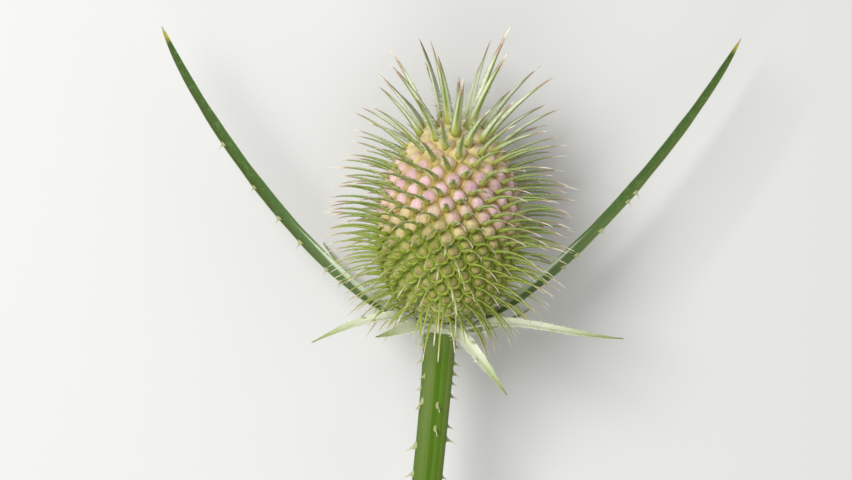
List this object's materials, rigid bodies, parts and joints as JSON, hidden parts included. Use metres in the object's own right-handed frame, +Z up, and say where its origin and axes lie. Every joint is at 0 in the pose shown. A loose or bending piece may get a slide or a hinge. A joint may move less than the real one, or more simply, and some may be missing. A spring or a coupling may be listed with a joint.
{
  "type": "teasel flower head",
  "caption": "Egg-shaped teasel flower head set with long curved spines, with pointed bracts fanned out below it and a short prickly ribbed stem, lying on its side.",
  "frame": {"origin": "middle of the bounding box's base, on the surface that the flower head lies on", "axes": "+Z up from the surface, +Y along the stem towards the flower head's top, +X across it towards its right bract"},
  "size_m": [0.1319, 0.1125, 0.0555],
  "materials": {
    "head_green": "matt living flower head, yellow-green with a pink band",
    "stem_green": "ribbed green stem, satin",
    "long_bract_green": "tough green leaf, satin",
    "short_bract_green": "tough pale green leaf, satin"
  },
  "bodies": {
    "root": {"flower_head": "head_green", "stem": "stem_green", "bract_long_left": "long_bract_green", "bract_long_right": "long_bract_green", "bract_left": "short_bract_green", "bract_right": "short_bract_green", "bract_front_left": "short_bract_green", "bract_front_right": "short_bract_green", "bract_back_left": "short_bract_green", "bract_back_right": "short_bract_green"}
  },
  "joints": []
}
